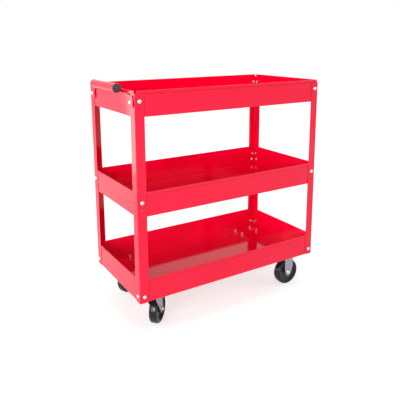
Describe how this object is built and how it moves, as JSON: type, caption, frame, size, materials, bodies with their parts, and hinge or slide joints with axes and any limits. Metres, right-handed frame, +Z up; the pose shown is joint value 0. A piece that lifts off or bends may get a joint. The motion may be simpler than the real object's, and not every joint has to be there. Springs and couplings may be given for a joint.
{
  "type": "rolling tool cart",
  "caption": "Open service cart with red sheet-steel trays on angle posts, a tubular end handle, swivel casters at the handle end and rigid casters at the other.",
  "frame": {"origin": "on the ground under the middle of the whole cart's box, handle and bolt heads included", "axes": "+X along the cart away from the handle, +Y across it towards the back, +Z up"},
  "size_m": [0.7336, 0.357, 0.7805],
  "materials": {
    "red_enamel": "glossy red baked enamel on sheet steel",
    "zinc_sheet": "zinc-plated pressed steel",
    "bright_fasteners": "bright zinc-plated fasteners",
    "tyre_rubber": "black moulded rubber, slightly glossy",
    "hub_plastic": "black moulded plastic",
    "cap_plastic": "dark grey moulded plastic",
    "bearing_steel": "polished bearing steel",
    "sleeve_steel": "turned steel"
  },
  "bodies": {
    "chassis": {"post_front_left": "red_enamel", "post_front_right": "red_enamel", "post_back_left": "red_enamel", "post_back_right": "red_enamel", "top_tray": "red_enamel", "top_tray_bolts": "bright_fasteners", "top_tray_nuts": "bright_fasteners", "middle_tray": "red_enamel", "middle_tray_bolts": "bright_fasteners", "middle_tray_nuts": "bright_fasteners", "bottom_tray": "red_enamel", "bottom_tray_bolts": "bright_fasteners", "bottom_tray_nuts": "bright_fasteners", "handle_tube": "red_enamel", "handle_cap_front": "cap_plastic", "handle_cap_back": "cap_plastic", "handle_bracket_front": "red_enamel", "handle_bracket_back": "red_enamel", "handle_bracket_bolts": "bright_fasteners", "handle_bracket_nuts": "bright_fasteners", "caster_plate_bolts": "bright_fasteners", "caster_plate_nuts": "bright_fasteners", "caster_plate_front_left": "zinc_sheet", "bearing_balls_front_left": "bearing_steel", "kingpin_front_left": "bright_fasteners", "rigid_fork_front_right": "zinc_sheet", "axle_bolt_front_right": "bright_fasteners", "axle_nut_front_right": "bright_fasteners", "wheel_sleeve_front_right": "sleeve_steel", "caster_plate_back_left": "zinc_sheet", "bearing_balls_back_left": "bearing_steel", "kingpin_back_left": "bright_fasteners", "rigid_fork_back_right": "zinc_sheet", "axle_bolt_back_right": "bright_fasteners", "axle_nut_back_right": "bright_fasteners", "wheel_sleeve_back_right": "sleeve_steel"},
    "wheel_front_left": {"wheel_hub_front_left": "hub_plastic", "tyre_front_left": "tyre_rubber"},
    "swivel_front_left": {"swivel_fork_front_left": "zinc_sheet", "axle_bolt_front_left": "bright_fasteners", "axle_nut_front_left": "bright_fasteners", "wheel_sleeve_front_left": "sleeve_steel"},
    "wheel_front_right": {"wheel_hub_front_right": "hub_plastic", "tyre_front_right": "tyre_rubber"},
    "wheel_back_left": {"wheel_hub_back_left": "hub_plastic", "tyre_back_left": "tyre_rubber"},
    "swivel_back_left": {"swivel_fork_back_left": "zinc_sheet", "axle_bolt_back_left": "bright_fasteners", "axle_nut_back_left": "bright_fasteners", "wheel_sleeve_back_left": "sleeve_steel"},
    "wheel_back_right": {"wheel_hub_back_right": "hub_plastic", "tyre_back_right": "tyre_rubber"}
  },
  "joints": [
    {"name": "caster_swivel_front_left", "type": "hinge", "parent": "chassis", "child": "swivel_front_left", "pos_m": [-0.26475, -0.123, 0.109], "axis": [0, 0, 1], "continuous": true},
    {"name": "wheel_spin_front_left", "type": "hinge", "parent": "swivel_front_left", "child": "wheel_front_left", "pos_m": [-0.24574, -0.10527, 0.048], "axis": [-0.682, 0.7314, 0], "continuous": true},
    {"name": "wheel_spin_front_right", "type": "hinge", "parent": "chassis", "child": "wheel_front_right", "pos_m": [0.28625, -0.123, 0.048], "axis": [0, 1, 0], "continuous": true},
    {"name": "caster_swivel_back_left", "type": "hinge", "parent": "chassis", "child": "swivel_back_left", "pos_m": [-0.26475, 0.123, 0.109], "axis": [0, 0, 1], "continuous": true},
    {"name": "wheel_spin_back_left", "type": "hinge", "parent": "swivel_back_left", "child": "wheel_back_left", "pos_m": [-0.24119, 0.13399, 0.048], "axis": [-0.4226, 0.9063, 0], "continuous": true},
    {"name": "wheel_spin_back_right", "type": "hinge", "parent": "chassis", "child": "wheel_back_right", "pos_m": [0.28625, 0.123, 0.048], "axis": [0, 1, 0], "continuous": true}
  ]
}
